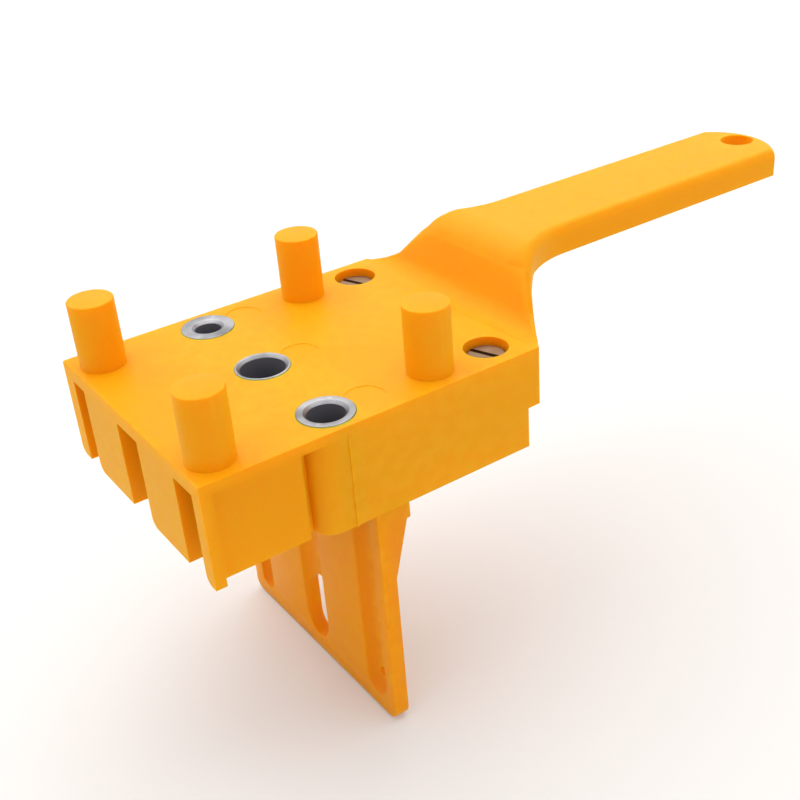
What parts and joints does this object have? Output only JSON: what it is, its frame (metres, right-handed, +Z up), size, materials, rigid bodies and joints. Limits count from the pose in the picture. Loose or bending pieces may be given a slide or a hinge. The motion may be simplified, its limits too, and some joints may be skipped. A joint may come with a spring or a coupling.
{
  "type": "doweling jig",
  "caption": "Moulded hand-held doweling jig with a handle, pegs and steel drill bushes on its plate and a sliding fence held below by slotted clamp screws.",
  "frame": {"origin": "on the axis of the middle (10 mm) drill bush, level with the plate's upper face", "axes": "+Z up along the drill bores, out of the plate; +Y from the bush row along the handle; +X to the right across the bush row"},
  "size_m": [0.068, 0.1889, 0.0988],
  "materials": {
    "orange_plastic": "moulded, lightly grained",
    "bush_steel": "turned",
    "screw_steel": "plain, slightly dulled",
    "zinc_steel": "zinc plated"
  },
  "bodies": {
    "jig_body": {"body": "orange_plastic", "bush_small": "bush_steel", "bush_large": "bush_steel", "bush_medium": "bush_steel"},
    "fence": {"fence": "orange_plastic"},
    "screw_left": {"clamp_screw_left": "screw_steel"},
    "screw_right": {"clamp_screw_right": "screw_steel"},
    "nut_left": {"washer_left": "zinc_steel", "square_nut_left": "zinc_steel"},
    "nut_right": {"washer_right": "zinc_steel", "square_nut_right": "zinc_steel"}
  },
  "joints": [
    {"name": "fence_slide", "type": "slide", "parent": "jig_body", "child": "fence", "axis": [0, 1, 0], "range_m": [0, 0.024]},
    {"name": "screw_left_turn", "type": "hinge", "parent": "jig_body", "child": "screw_left", "pos_m": [-0.026, 0.0411, -0.003], "axis": [0, 0, 1], "range_deg": [0, 540]},
    {"name": "screw_right_turn", "type": "hinge", "parent": "jig_body", "child": "screw_right", "pos_m": [0.026, 0.0411, -0.003], "axis": [0, 0, 1], "range_deg": [0, 540]},
    {"name": "nut_left_drop", "type": "slide", "parent": "jig_body", "child": "nut_left", "axis": [0, 0, -1], "range_m": [0, 0.0012]},
    {"name": "nut_right_drop", "type": "slide", "parent": "jig_body", "child": "nut_right", "axis": [0, 0, -1], "range_m": [0, 0.0012]}
  ],
  "couplings": [
    {"joint": "screw_left_turn", "follows": "nut_left_drop", "rad_per_m": 7853.9},
    {"joint": "screw_right_turn", "follows": "nut_right_drop", "rad_per_m": 7853.9}
  ]
}
